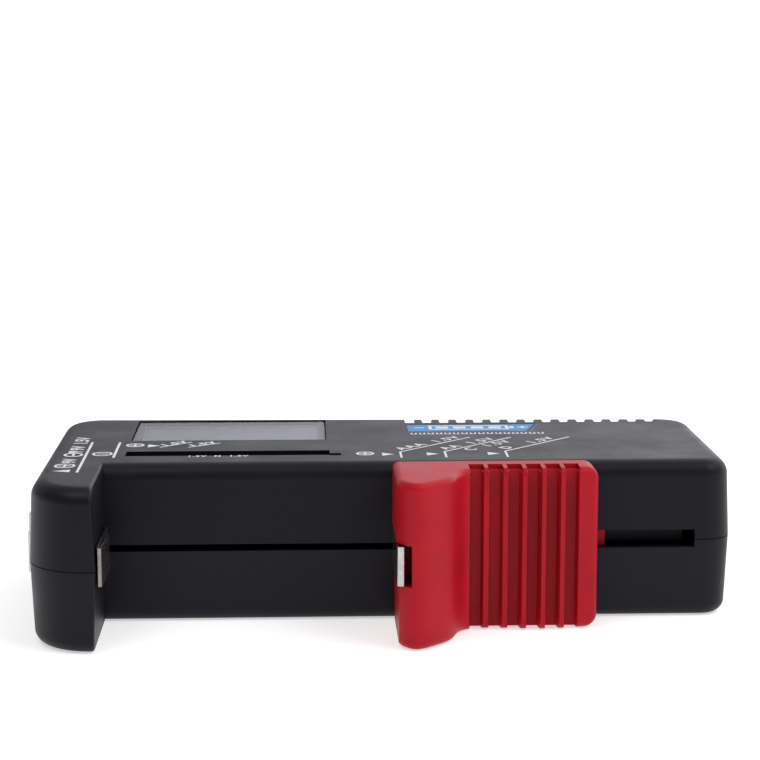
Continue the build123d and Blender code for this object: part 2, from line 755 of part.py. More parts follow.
def make_contact_rail():
    """The strip the wiper runs on, with an end turned in for the lead."""
    x0, x1, y0, y1 = GUIDE_RIB
    y = y0 - FIT / 2 - SHEET / 2
    turn = x1 + FACE_EDGE_R
    return bent_strip(((x0 + OVERRUN, y), (turn, y), (turn, y1 + WALL)), FACE_EDGE_R, *RAIL_Z)


def make_head_contact_strip():
    """The fixed contact: in through the head's face, along it and folded back at the tip."""
    wall_x = HEAD_FACE_X + 2 * CLEARANCE
    turned = wall_x + FOLD_WIDTH / 2
    root_x, root_y = STRIP_ROOT
    line = (
        (root_x, root_y),
        (wall_x, root_y),
        (wall_x, STRIP_FOLD_Y),
        (turned, STRIP_FOLD_Y),
        (turned + 2 * CLEARANCE, STRIP_END_Y),
    )
    return bent_strip(line, HEAD_FOLD_BEND, *HEAD_STRIP_Z)


def make_nine_volt_contact(y0, y1):
    """One pad on the head's end, joggled back over the wall and led in through its slit."""
    outer = PAD_FACE_X + SHEET / 2
    inner = outer + PAD_JOGGLE
    low, high = PAD_Z
    pad_line = ((outer, low), (outer, high), (inner, high + 2 * PAD_JOGGLE), (inner, PAD_LEG_Z))
    pad = bent_strip(pad_line, PAD_JOGGLE, y0, y1, plane="XZ")
    middle = (y0 + y1) / 2
    leg_line = ((inner, PAD_LEG_Z - OVERRUN), (inner, PAD_LEG_Z), (PAD_LEG_X, PAD_LEG_Z))
    leg = bent_strip(leg_line, FOLD_BEND, middle - PAD_LEG, middle + PAD_LEG, plane="XZ")
    return pad + leg


def make_mini_cell_contact(wall_y, inward, tail_x, low_z, board_y):
    """A bowed leaf along one side of the small-cell slot, with a tail down to the board."""
    x0, x1, x2 = LEAF_X
    ends = wall_y + inward * LEAF_REST
    crown = ends + inward * LEAF_BOW
    leaf = bent_strip(((x0, ends), (x1, crown), (x2, ends)), LEAF_BEND, *LEAF_Z, thick=LEAF_THICK)
    near, far = sorted((ends - inward * LEAF_THICK / 2, crown + inward * FIT))
    bridge = block(*tail_x, near, far, TAIL_TOP_Z - LEAF_BRIDGE, TAIL_TOP_Z)
    line = ((ends, TAIL_TOP_Z), (ends, low_z), (board_y, low_z), (board_y, TAIL_BOARD_Z))
    tail = bent_strip(line, TAIL_BEND, *tail_x, plane="YZ", thick=LEAF_THICK)
    return leaf + bridge + tail


def make_mini_cell_plus():
    return make_mini_cell_contact(SLOT[3], -1, PLUS_TAIL_X, PLUS_TAIL_Z, PLUS_TAIL_Y)


def make_mini_cell_minus():
    return make_mini_cell_contact(SLOT[2], 1, MINUS_TAIL_X, MINUS_TAIL_Z, MINUS_TAIL_Y)


def make_main_board():
    board = rounded_block(*BOARD, BOARD_UNDER, BOARD_TOP_Z, 4 * [BOARD_CORNER_R])
    for x, y in BOARD_SCREWS:
        board -= post(x, y, 0, CASE_HEIGHT, BOARD_SCREW_R + CLEARANCE)
    return board


def make_lcd_panel():
    """Two glass plates, the front one longer at the edge that carries the contacts."""
    x0, x1, y0, y1 = LCD_PANEL
    front = block(x0, x1, y0, y1, LCD_TOP_Z - LCD_GLASS, LCD_TOP_Z)
    back = block(x0, x1, y0 + LCD_CONTACT_EDGE, y1, LCD_TOP_Z - 2 * LCD_GLASS, LCD_TOP_Z - LCD_GLASS)
    return front + back


def make_lcd_reflector():
    return block(*LCD_REFLECTOR, LCD_LIFT_Z, LCD_TOP_Z - 2 * LCD_GLASS)


def make_lcd_holder():
    outer = block(*LCD_HOLDER, BOARD_TOP_Z, HOLDER_TOP_Z)
    return outer - block(*HOLDER_OPENING, 0, CASE_HEIGHT)


def make_zebra_strip():
    return block(*ZEBRA_STRIP, BOARD_TOP_Z, LCD_TOP_Z - LCD_GLASS)


def make_chip_blob():
    blob = post(*BLOB_PLACE, BOARD_UNDER - BLOB_THICK, BOARD_UNDER, BLOB_R)
    return fillet(blob.faces().sort_by(Axis.Z)[0].edges(), BLOB_EDGE_R)


def make_load_resistors():
    """Wire-ended resistors that load the cell under test, under the board."""
    x0, x1 = RESISTOR_X
    z = BOARD_UNDER - RESISTOR_DROP
    parts = []
    for y in RESISTORS_Y:
        body = rod_x(x0, x1, y, z, RESISTOR_R)
        body = fillet(body.edges(), RESISTOR_EDGE_R)
        near, far = x0 - RESISTOR_LEG, x1 + RESISTOR_LEG
        route = ((near, BOARD_UNDER), (near, z), (far, z), (far, BOARD_UNDER))
        legs = bent_strip(route, LEG_BEND, y - LEG / 2, y + LEG / 2, "XZ", LEG)
        parts.append(body + legs)
    return Compound(children=parts)


def make_smd_parts():
    length, width, thick = CHIP_SIZE
    parts = []
    for x, y in CHIPS:
        parts.append(block(x, x + length, y, y + width, BOARD_UNDER - thick, BOARD_UNDER))
    return Compound(children=parts)


def make_capacitor():
    """An electrolytic can lying under the board on its two legs."""
    x0, x1 = CAN_X
    z = BOARD_UNDER - CAN_DROP
    can = rod_x(x0, x1, CAN_Y, z, CAN_R)
    can = fillet(can.edges(), CAN_EDGE_R)
    legs = Part()
    for y in (CAN_Y - CAN_LEG_GAP / 2, CAN_Y + CAN_LEG_GAP / 2):
        line = ((x1 - LEG, z), (x1 + CAN_LEG, z), (x1 + CAN_LEG, BOARD_UNDER))
        legs += bent_strip(line, LEG_BEND, y - LEG / 2, y + LEG / 2, "XZ", LEG)
    return can + legs


def make_supply_cell():
    x0, x1 = CELL_X
    body = rod_x(x0, x1, CELL_Y, CELL_Z, CELL_R)
    body = fillet(body.edges(), FACE_EDGE_R)
    nub = rod_x(x0 - CELL_NUB, x0 + FIT, CELL_Y, CELL_Z, NUB_R)
    return body + nub


def make_cell_plus_contact():
    half, low, high = CELL_CONTACT
    front = BAY_IN[0] + FIT / 2
    back = front + CONTACT_THICK
    dome = rod_x(back, back + DOME, CELL_Y, CELL_Z, DOME_R)
    return block(front, back, CELL_Y - half, CELL_Y + half, low, high) + dome


def make_cell_spring():
    """The conical spring and plate that press the supply cell forward."""
    half, low, high = CELL_CONTACT
    plate_x = BAY_IN[1] - FIT / 2 - SHEET
    plate = block(plate_x, plate_x + SHEET, CELL_Y - half, CELL_Y + half, low, high)
    coil_x = CELL_X[1] + SPRING_WIRE_R + FIT
    length = plate_x - coil_x - SPRING_WIRE_R / 2
    coil = Helix(
        pitch=length / SPRING_TURNS,
        height=length,
        radius=SPRING_TIP_R,
        center=(coil_x, CELL_Y, CELL_Z),
        direction=(1, 0, 0),
        cone_angle=SPRING_CONE,
    )
    section = Plane(origin=coil @ 0, z_dir=coil % 0) * Circle(SPRING_WIRE_R)
    return plate + sweep(section, path=coil, is_frenet=True)


def make_lead(points):
    """An insulated lead along straight runs, joined by arcs as large as the runs allow."""
    line = [Vector(*point) for point in points]
    bends = []
    for before, here, after in zip(line, line[1:], line[2:]):
        turn = math.radians((here - before).get_angle(after - here))
        shorter = min((here - before).length, (after - here).length)
        bends.append(BEND_SHARE * shorter / math.tan(turn / 2))
    path = FilletPolyline(*line, radius=bends)
    section = Plane(origin=path @ 0, z_dir=path % 0) * Circle(LEAD_R)
    return sweep(section, path=path)


def main():
    os.makedirs("parts", exist_ok=True)
    nodes = {
        "upper_shell": make_upper_shell(),
        "lower_shell": make_lower_shell(),
        "display_window": make_display_window(),
        "badge_plate": make_badge_plate(),
        "back_label": make_back_label(),
        "battery_door": make_battery_door(),
        "casing_screws": make_casing_screws(),
        "board_screws": make_board_screws(),
        "slide_grip": make_slide_grip(),
        "slide_contact_strip": make_slide_contact_strip(),
        "slide_wiper": make_slide_wiper(),
        "wiper_rivets": make_wiper_rivets(),
        "contact_rail": make_contact_rail(),
        "head_contact_strip": make_head_contact_strip(),
        "nine_volt_minus_contact": make_nine_volt_contact(*PADS_Y[0]),
        "nine_volt_plus_contact": make_nine_volt_contact(*PADS_Y[1]),
        "mini_cell_plus_contact": make_mini_cell_plus(),
        "mini_cell_minus_contact": make_mini_cell_minus(),
        "main_board": make_main_board(),
        "lcd_panel": make_lcd_panel(),
        "lcd_reflector": make_lcd_reflector(),
        "lcd_holder": make_lcd_holder(),
        "zebra_strip": make_zebra_strip(),
        "chip_blob": make_chip_blob(),
        "load_resistors": make_load_resistors(),
        "smd_parts": make_smd_parts(),
        "electrolytic_capacitor": make_capacitor(),
        "supply_cell": make_supply_cell(),
        "cell_plus_contact": make_cell_plus_contact(),
        "cell_spring": make_cell_spring(),
    }
    for name, points in LEADS.items():
        nodes[name] = make_lead(points)
    for name, shape in nodes.items():
        export_step(shape, f"parts/{name}.step")


main()
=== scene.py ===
import math

import bmesh
import bpy
from mathutils import Matrix, Vector


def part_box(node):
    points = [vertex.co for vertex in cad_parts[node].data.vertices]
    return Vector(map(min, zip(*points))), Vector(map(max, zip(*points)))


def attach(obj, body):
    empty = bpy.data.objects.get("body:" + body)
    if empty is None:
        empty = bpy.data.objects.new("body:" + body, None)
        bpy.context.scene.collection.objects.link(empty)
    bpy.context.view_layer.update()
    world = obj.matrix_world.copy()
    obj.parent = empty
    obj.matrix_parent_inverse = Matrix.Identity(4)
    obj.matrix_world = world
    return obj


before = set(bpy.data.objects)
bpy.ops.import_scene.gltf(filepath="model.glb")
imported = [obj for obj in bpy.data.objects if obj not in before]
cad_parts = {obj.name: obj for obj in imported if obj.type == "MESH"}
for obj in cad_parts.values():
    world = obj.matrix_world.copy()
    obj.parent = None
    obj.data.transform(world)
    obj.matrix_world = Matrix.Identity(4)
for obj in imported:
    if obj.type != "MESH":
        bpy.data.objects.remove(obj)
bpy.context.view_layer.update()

MM = 0.001

# The camera stands low in front of the bay, a little left of the middle. Its lens and
# sensor are in millimetres, and its clip distances in metres.
CAMERA_PLACE = Vector((-13.07, -321.85, 87.94)) * MM
CAMERA_YAW = math.radians(2.235)
CAMERA_PITCH = math.radians(9.133)
CAMERA_ROLL = math.radians(0.023)
CAMERA_LENS = 96.56
CAMERA_SENSOR = 36.0
CAMERA_CLIP = (0.01, 20.0)

# Softboxes: place and side in millimetres, and power in watts.
KEY_LIGHT = ((-300, -300, 700), 420, 1.9)
FILL_LIGHT = ((420, -260, 560), 360, 1.7)
LIGHT_AIM_MM = 12.0

# Sky brightness towards the camera and behind the object, its share at the left and at the
# right, the colour of its light, and its strength as the camera sees it.
SKY_FRONT = 0.31
SKY_BACK = 1.18
SKY_DEPTH_RANGE = (-0.5, 0.7)
SKY_LEFT = 0.42
SKY_RIGHT = 1.50
SKY_SIDE_RANGE = (-0.25, 0.35)
SKY_COLOUR = (0.965, 0.955, 1.0, 1.0)
SKY_SEEN = 1.06

# Floor: side in metres, depth below the object's foot in millimetres, and glow.
FLOOR_SIZE = 6.0
FLOOR_DROP = 0.05
FLOOR_GLOW = 0.52

# Texture sizes and relief depths, in millimetres.
PATCH = 9.0
SCUFF = 1.2
SCUFF_STRETCH = (0.18, 1.0, 1.0)
WAVE = 14.0
WAVE_DEPTH = 0.03
DRAWN = 0.25
DRAWN_DEPTH = 0.0015
STAIN = 2.2
STAIN_DEPTH = 0.002
SMEAR = 6.0
SMEAR_STRETCH = (0.5, 1.0, 1.0)
WINDOW_WAVE = 20.0
WINDOW_WAVE_DEPTH = 0.02
PAPER_GRAIN = 2.0
PAPER_DEPTH = 0.01

# Print, in millimetres: ink thickness, widths of rings, signs, bars and lines, capital
# heights and how much bolder the letters are. The gap is a factor on their spacing.
INK_THICK = 0.014
LCD_INK_THICK = 0.03
RING_WIDTH = 0.42
SIGN_WIDTH = 0.42
THIN_SIGN = 0.32
BAR_WIDTH = 0.4
LINE_WIDTH = 0.36
HEAD_RING = 3.3
HEAD_BOLD = 0.07
ROW_LETTER = 1.9
ROW_BOLD = 0.06
ROW_GAP = 1.25
BORDER = 0.3

# Corners round a ring, the share of a letter's size that its capitals take, the sharpest
# mitre, and the distance in metres within which corners join.
RING_STEPS = 48
CAPITAL_SHARE = 0.70
MITRE_LIMIT = 0.3
WELD = 1e-7

# A colour mix node's places for its two colours and its result.
MIX_FIRST = 6
MIX_SECOND = 7
MIX_RESULT = 2


# ---------------------------------------------------------------- node helpers


def map_range(nodes, low, high, new_low, new_high):
    """A node that maps one range of values onto another, clamped."""
    node = nodes.new("ShaderNodeMapRange")
    node.inputs["From Min"].default_value = low
    node.inputs["From Max"].default_value = high
    node.inputs["To Min"].default_value = new_low
    node.inputs["To Max"].default_value = new_high
    return node


class Look:
    """One material under construction: a Principled shader with texture nodes before it."""

    def __init__(self, name, colour, roughness, ior=1.45, metallic=0.0):
        self.material = bpy.data.materials.new(name)
        self.material.use_nodes = True
        self.nodes = self.material.node_tree.nodes
        self.links = self.material.node_tree.links
        self.shader = self.nodes["Principled BSDF"]
        self.shader.inputs["Base Color"].default_value = (*colour, 1.0)
        self.shader.inputs["Roughness"].default_value = roughness
        self.shader.inputs["IOR"].default_value = ior
        self.shader.inputs["Metallic"].default_value = metallic
        self.place = self.nodes.new("ShaderNodeTexCoord").outputs["Object"]
        self.relief = None

    def noise(self, size_mm, detail=3.0, rough=0.5, stretch=None):
        """Noise whose features are about size_mm across."""
        node = self.nodes.new("ShaderNodeTexNoise")
        node.inputs["Scale"].default_value = 1.0 / (size_mm * MM)
        node.inputs["Detail"].default_value = detail
        node.inputs["Roughness"].default_value = rough
        place = self.place
        if stretch:
            mapping = self.nodes.new("ShaderNodeMapping")
            mapping.inputs["Scale"].default_value = stretch
            self.links.new(place, mapping.inputs["Vector"])
            place = mapping.outputs["Vector"]
        self.links.new(place, node.inputs["Vector"])
        return node.outputs["Fac"]

    def spread(self, value, low, high, new_low=0.0, new_high=1.0):
        """Maps a value from one range to another, clamped."""
        node = map_range(self.nodes, low, high, new_low, new_high)
        self.links.new(value, node.inputs["Value"])
        return node.outputs["Result"]

    def add(self, first, second):
        """The sum of two values."""
        node = self.nodes.new("ShaderNodeMath")
        node.operation = "ADD"
        self.links.new(first, node.inputs[0])
        self.links.new(second, node.inputs[1])
        return node.outputs[0]

    def mix(self, factor, first, second):
        """Mixes two colours; each is a colour or another node's output."""
        node = self.nodes.new("ShaderNodeMix")
        node.data_type = "RGBA"
        self.links.new(factor, node.inputs["Factor"])
        for value, place in ((first, MIX_FIRST), (second, MIX_SECOND)):
            socket = node.inputs[place]
            if isinstance(value, tuple):
                socket.default_value = (*value, 1.0)
            else:
                self.links.new(value, socket)
        return node.outputs[MIX_RESULT]

    def bump(self, height, depth_mm):
        """Adds a relief of the given depth on top of what is there already."""
        node = self.nodes.new("ShaderNodeBump")
        node.inputs["Distance"].default_value = depth_mm * MM
        self.links.new(height, node.inputs["Height"])
        if self.relief:
            self.links.new(self.relief, node.inputs["Normal"])
        self.relief = node.outputs["Normal"]
        self.links.new(self.relief, self.shader.inputs["Normal"])

    def colour(self, value):
        """Takes the base colour from another node."""
        self.links.new(value, self.shader.inputs["Base Color"])

    def roughness(self, value):
        """Takes the roughness from another node."""
        self.links.new(value, self.shader.inputs["Roughness"])


def tinted(colour, share):
    """A darker or lighter version of a colour."""
    return tuple(min(1.0, channel * share) for channel in colour)


def moulded_plastic(name, colour, roughness, ior, grain_mm, grain_depth_mm, scuff=0.05):
    """Moulded plastic with a spark-eroded grain, a patchy sheen, fine scuffs and pale specks."""
    look = Look(name, colour, roughness, ior)
    patches = look.noise(PATCH, 4.0, 0.6)
    specks = look.noise(grain_mm * 3, 2.0)
    tone = look.mix(look.spread(patches, 0.3, 0.7), tinted(colour, 0.86), tinted(colour, 1.12))
    tone = look.mix(look.spread(specks, 0.62, 0.8, 0.0, 0.35), tone, tinted(colour, 1.5))
    look.colour(tone)
    lines = look.noise(SCUFF, 5.0, 0.7, stretch=SCUFF_STRETCH)
    look.roughness(
        look.add(
            look.spread(patches, 0.3, 0.7, roughness - 0.05, roughness + 0.05),
            look.spread(lines, 0.60, 0.75, 0.0, -scuff),
        )
    )
    look.bump(look.noise(grain_mm, 2.0, 0.6), grain_depth_mm)
    look.bump(look.noise(WAVE, 1.0), WAVE_DEPTH)
    return look.material


def sheet_metal(name, colour, roughness, stretch=(1.0, 0.08, 1.0)):
    """Rolled sheet with a drawn grain, tarnish spots and an uneven sheen."""
    look = Look(name, colour, roughness, 1.45, 1.0)
    drawn = look.noise(DRAWN, 3.0, 0.6, stretch=stretch)
    stains = look.noise(STAIN, 4.0, 0.65)
    look.colour(look.mix(look.spread(stains, 0.45, 0.75), colour, tinted(colour, 0.62)))
    look.roughness(look.spread(drawn, 0.3, 0.7, roughness - 0.06, roughness + 0.08))
    look.bump(drawn, DRAWN_DEPTH)
    look.bump(stains, STAIN_DEPTH)
    return look.material


def finish(name, colour, roughness, grain_mm=0.4, depth_mm=0.006, ior=1.45):
    """A small part's own finish: mottled colour, uneven sheen and a fine relief."""
    look = Look(name, colour, roughness, ior)
    mottle = look.noise(grain_mm * 4, 3.0)
    look.colour(look.mix(look.spread(mottle, 0.35, 0.7), tinted(colour, 0.8), tinted(colour, 1.15)))
    look.roughness(look.spread(mottle, 0.3, 0.7, roughness - 0.06, roughness + 0.08))
    look.bump(look.noise(grain_mm, 3.0), depth_mm)
    return look.material


def clear_plastic(name):
    """Clear moulded window with faint wipe marks."""
    look = Look(name, (0.86, 0.90, 0.97), 0.08, 1.13)
    look.shader.inputs["Transmission Weight"].default_value = 1.0
    smears = look.noise(SMEAR, 5.0, 0.7, stretch=SMEAR_STRETCH)
    look.roughness(look.spread(smears, 0.4, 0.8, 0.05, 0.16))
    look.bump(look.noise(WINDOW_WAVE, 1.0), WINDOW_WAVE_DEPTH)
    return look.material


def paint(material, *node_names):
    """Gives CAD nodes a material in place of their own."""
    for name in node_names:
        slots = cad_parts[name].data.materials
        slots.clear()
        slots.append(material)


# ------------------------------------------------------------------- materials

CASING_SHEEN = (0.90, 0.89, 1.0, 1.0)

CASING = moulded_plastic("casing_plastic", (0.0048, 0.0045, 0.0070), 0.44, 1.29, 0.16, 0.010)
CASING.node_tree.nodes["Principled BSDF"].inputs["Specular Tint"].default_value = CASING_SHEEN
JAW = moulded_plastic("jaw_plastic", (0.40, 0.005, 0.014), 0.42, 1.25, 0.22, 0.008)
NICKEL = sheet_metal("nickel_plating", (0.50, 0.47, 0.45), 0.18)
# A darker, rougher copy of the nickel plating for the head contact strip: painted shade, so that it
# reads darker than the other contacts.
SHADED_NICKEL = sheet_metal("shaded_nickel", (0.26, 0.235, 0.22), 0.28)
BRONZE = sheet_metal("bronze_sheet", (0.78, 0.54, 0.30), 0.30, stretch=(0.08, 1.0, 1.0))
STEEL = sheet_metal("screw_metal", (0.42, 0.42, 0.44), 0.34, stretch=(1.0, 1.0, 0.3))
FOIL = sheet_metal("mirror_foil", (0.60, 0.60, 0.60), 0.45)
WHITE_INK = finish("white_ink", (0.72, 0.74, 0.78), 0.50, 0.12, 0.004)
BLACK_INK = finish("black_ink", (0.006, 0.006, 0.008), 0.50, 0.15, 0.004)
BADGE_INK = finish("badge_ink", (0.045, 0.24, 0.54), 0.38, 0.5, 0.003, 1.18)
LABEL_FILM = finish("label_film", (0.42, 0.43, 0.44), 0.32, 0.6, 0.004)
LAMINATE = finish("board_laminate", (0.015, 0.11, 0.045), 0.35, 0.8, 0.010)
LCD_FACE = finish("lcd_face", (0.040, 0.048, 0.060), 0.40, 2.5, 0.002, 1.20)
LCD_INK = finish("lcd_segments", (0.026, 0.031, 0.040), 0.40, 2.5, 0.002, 1.20)
MASK_INK = finish("mask_ink", (0.105, 0.11, 0.125), 0.35, 2.5, 0.002, 1.3)
HOLDER = moulded_plastic("holder_plastic", (0.72, 0.72, 0.70), 0.45, 1.45, 0.3, 0.006)
RUBBER = finish("striped_rubber", (0.06, 0.06, 0.065), 0.60, 0.2, 0.010)
RESIN = finish("black_resin", (0.010, 0.010, 0.011), 0.20, 0.9, 0.010)
LACQUER = finish("resistor_lacquer", (0.52, 0.38, 0.20), 0.40, 0.4, 0.010)
CERAMIC = finish("fired_ceramic", (0.33, 0.25, 0.17), 0.50, 0.3, 0.010)
SLEEVE = finish("shrunk_sleeve", (0.015, 0.03, 0.10), 0.25, 0.8, 0.010)
JACKET = finish("cell_wrap", (0.05, 0.055, 0.07), 0.28, 1.2, 0.004)
BLACK_LEAD = finish("black_insulation", (0.012, 0.012, 0.013), 0.42, 0.4, 0.010)
RED_LEAD = finish("red_insulation", (0.42, 0.012, 0.014), 0.42, 0.4, 0.010)
YELLOW_LEAD = finish("yellow_insulation", (0.60, 0.36, 0.02), 0.42, 0.4, 0.010)

paint(CASING, "upper_shell", "lower_shell", "battery_door")
paint(JAW, "slide_grip")
paint(NICKEL, "slide_contact_strip", "wiper_rivets")
# The head contact strip takes the darker nickel copy, which is painted shade.
paint(SHADED_NICKEL, "head_contact_strip")
paint(NICKEL, "nine_volt_minus_contact", "nine_volt_plus_contact")
paint(NICKEL, "mini_cell_plus_contact", "mini_cell_minus_contact")
paint(NICKEL, "cell_plus_contact", "cell_spring")
paint(BRONZE, "slide_wiper", "contact_rail")
paint(STEEL, "casing_screws", "board_screws")
paint(clear_plastic("clear_window"), "display_window")
paint(BADGE_INK, "badge_plate")
paint(LABEL_FILM, "back_label")
paint(LAMINATE, "main_board")
paint(LCD_FACE, "lcd_panel")
paint(FOIL, "lcd_reflector")
paint(HOLDER, "lcd_holder")
paint(RUBBER, "zebra_strip")
paint(RESIN, "chip_blob")
paint(LACQUER, "load_resistors")
paint(CERAMIC, "smd_parts")
paint(SLEEVE, "electrolytic_capacitor")
paint(JACKET, "supply_cell")
paint(BLACK_LEAD, "lead_common", "lead_cell_minus")
paint(RED_LEAD, "lead_nine_volt", "lead_cell_plus")
paint(YELLOW_LEAD, "lead_slide")


# ----------------------------------------------------------------- print marks


class Print:
    """Thin ink shapes on one level, in millimetres, gathered into one mesh."""

    def __init__(self, name, level, material, thick=INK_THICK):
        self.name = name
        self.low, self.high = sorted((level, level + thick))
        self.material = material
        self.mesh = bmesh.new()

    def ring_of_verts(self, points, level):
        """Vertices along an outline, at one height."""
        return [self.mesh.verts.new(Vector((x, y, level)) * MM) for x, y in points]

    def walls(self, low, high):
        """The faces between two rings of vertices."""
        for i, corner in enumerate(low):
            after = (i + 1) % len(low)
            self.mesh.faces.new((corner, low[after], high[after], high[i]))

    def shape(self, points):
        """A filled outline."""
        low = self.ring_of_verts(points, self.low)
        high = self.ring_of_verts(points, self.high)
        self.mesh.faces.new(high)
        self.mesh.faces.new(list(reversed(low)))
        self.walls(low, high)

    def path(self, points, width):
        """An open line with mitred corners."""
        line = [Vector(p) for p in points]
        left, right = [], []
        for i, point in enumerate(line):
            runs = []
            if i > 0:
                runs.append((point - line[i - 1]).normalized())
            if i < len(line) - 1:
                runs.append((line[i + 1] - point).normalized())
            along = sum(runs, Vector((0, 0))).normalized()
            side = Vector((-along.y, along.x))
            normal = Vector((-runs[0].y, runs[0].x))
            reach = width / 2 / max(MITRE_LIMIT, side.dot(normal))
            left.append(point + side * reach)
            right.append(point - side * reach)
        self.shape(right + list(reversed(left)))

    def hoop(self, outer, inner):
        """The band between two outlines that have the same number of points."""
        rings = [self.ring_of_verts(p, z) for p in (outer, inner) for z in (self.low, self.high)]
        outer_low, outer_high, inner_low, inner_high = rings
        self.walls(outer_low, outer_high)
        self.walls(inner_high, inner_low)
        for low, high in ((outer_high, inner_high), (inner_low, outer_low)):
            self.walls(low, high)

    def circle(self, centre, diameter, width=RING_WIDTH):
        """A ring, its width measured inwards."""
        turns = [math.tau * i / RING_STEPS for i in range(RING_STEPS)]
        rings = []
        for radius in (diameter / 2, diameter / 2 - width):
            across = [centre[0] + radius * math.cos(turn) for turn in turns]
            along = [centre[1] + radius * math.sin(turn) for turn in turns]
            rings.append(list(zip(across, along)))
        self.hoop(*rings)

    def frame(self, x0, y0, x1, y1, width):
        """The border of a rectangle, its width measured inwards."""
        outer = [(x0, y0), (x1, y0), (x1, y1), (x0, y1)]
        w = width
        inner = [(x0 + w, y0 + w), (x1 - w, y0 + w), (x1 - w, y1 - w), (x0 + w, y1 - w)]
        self.hoop(outer, inner)

    def box(self, x0, y0, x1, y1):
        """A filled rectangle."""
        self.shape([(x0, y0), (x1, y0), (x1, y1), (x0, y1)])

    def plus(self, centre, size, width=SIGN_WIDTH):
        """A plus sign."""
        x, y = centre
        a, b = size / 2, width / 2
        corners = [(b, a), (b, b), (a, b), (a, -b), (b, -b), (b, -a)]
        corners += [(-p, -q) for p, q in corners]
        self.shape([(x + p, y + q) for p, q in reversed(corners)])

    def minus(self, centre, size, width=SIGN_WIDTH):
        """A minus sign."""
        x, y = centre
        self.box(x - size / 2, y - width / 2, x + size / 2, y + width / 2)

    def arrow(self, base, tip, width):
        """A filled triangle."""
        start, end = Vector(base), Vector(tip)
        run = (end - start).normalized()
        side = Vector((-run.y, run.x)) * width / 2
        self.shape([start - side, end, start + side])

    def words(self, text, start, height, degrees=0.0, mirror=False, bold=0.05, gap=1.0):
        """A size code or voltage in Blender's own face, with capitals of the given height."""
        curve = bpy.data.curves.new(self.name, "FONT")
        curve.body = text
        curve.size = height * MM / CAPITAL_SHARE
        curve.offset = bold * MM
        curve.space_character = gap
        curve.extrude = (self.high - self.low) * MM / 2
        curve.resolution_u = 3
        helper = bpy.data.objects.new(self.name, curve)
        bpy.context.scene.collection.objects.link(helper)
        middle = (self.low + self.high) / 2
        helper.matrix_world = (
            Matrix.Translation(Vector((*start, middle)) * MM)
            @ Matrix.Rotation(math.radians(degrees), 4, "Z")
            @ Matrix.Diagonal((-1 if mirror else 1, 1, 1, 1))
        )
        bpy.context.view_layer.update()
        depsgraph = bpy.context.evaluated_depsgraph_get()
        solid = bpy.data.meshes.new_from_object(helper.evaluated_get(depsgraph))
        solid.transform(helper.matrix_world)
        self.mesh.from_mesh(solid)
        bpy.data.objects.remove(helper)
        bpy.data.curves.remove(curve)
        bpy.data.meshes.remove(solid)

    def done(self):
        """Turns the shapes into one piece that rides on the casing."""
        data = bpy.data.meshes.new(self.name)
        bmesh.ops.remove_doubles(self.mesh, verts=self.mesh.verts, dist=WELD)
        bmesh.ops.recalc_face_normals(self.mesh, faces=self.mesh.faces)
        self.mesh.to_mesh(data)
        self.mesh.free()
        data.materials.append(self.material)
        piece = bpy.data.objects.new(self.name, data)
        bpy.context.scene.collection.objects.link(piece)
        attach(piece, "root")


def corners_mm(node):
    """A node's lowest and highest corners, in millimetres."""
    low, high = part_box(node)
    return low / MM, high / MM


CASE_LOW, CASE_HIGH = corners_mm("upper_shell")
WINDOW_LOW, WINDOW_HIGH = corners_mm("display_window")
BADGE_LOW, BADGE_HIGH = corners_mm("badge_plate")
JAW_LOW = corners_mm("slide_grip")[0]
LABEL_LOW, LABEL_HIGH = corners_mm("back_label")
LCD_LOW, LCD_HIGH = corners_mm("lcd_panel")


def head_marks(ink):
    """Marks of the 9 V pads, in columns along the head end."""
    x = CASE_LOW.x
    bars = ((6.7, -17.3, 6.95), (11.2, -6.1, 6.7))
    for column, near, far in bars:
        ink.box(x + column, near, x + column + BAR_WIDTH, far)
    minus_place = (x + 9.4, -2.95)
    ink.circle(minus_place, HEAD_RING)
    ink.minus(minus_place, 1.7, 0.45)
    plus_place = (x + 4.5, -12.2)
    ink.circle(plus_place, HEAD_RING)
    ink.plus(plus_place, 1.9)
    ink.circle((x + 4.9, -3.55), 3.1)
    ink.box(x + 4.7, -4.45, x + 5.1, -2.65)
    ink.arrow((x + 5.7, -16.1), (x + 3.1, -16.1), 1.9)
    ink.arrow((x + 3.9, -1.2), (x + 6.4, -1.2), 1.8)
    ink.words("9V", (x + 5.8, -10.1), 2.1, 90, bold=HEAD_BOLD, gap=1.05)
    ink.words("9V  1.5V", (x + 6.1, 0.2), 2.2, 90, bold=HEAD_BOLD)


def mini_cell_marks(ink):
    """Marks of the small-cell slot, between it and the window."""
    x, y = WINDOW_LOW.x, WINDOW_LOW.y
    plus_place = (x + 0.9, y - 4.0)
    ink.circle(plus_place, 3.0)
    ink.plus(plus_place, 1.7)
    ink.arrow((x + 3.0, y - 4.6), (x + 5.0, y - 4.6), 2.4)
    rows = (
        ((x + 5.0, y - 5.9), (x + 9.9, y - 1.65), (x + 5.7, y - 4.9), 41),
        ((x + 9.6, y - 6.0), (x + 14.6, y - 2.55), (x + 10.1, y - 5.3), 35),
    )
    for near, far, place, slope in rows:
        ink.path([near, far], LINE_WIDTH)
        ink.words("1.5V", place, 1.6, slope, bold=0.09, gap=1.2)
    ink.words("1.5V  N  1.5V", (x + 9.8, y - 13.9), 0.95, gap=ROW_GAP)


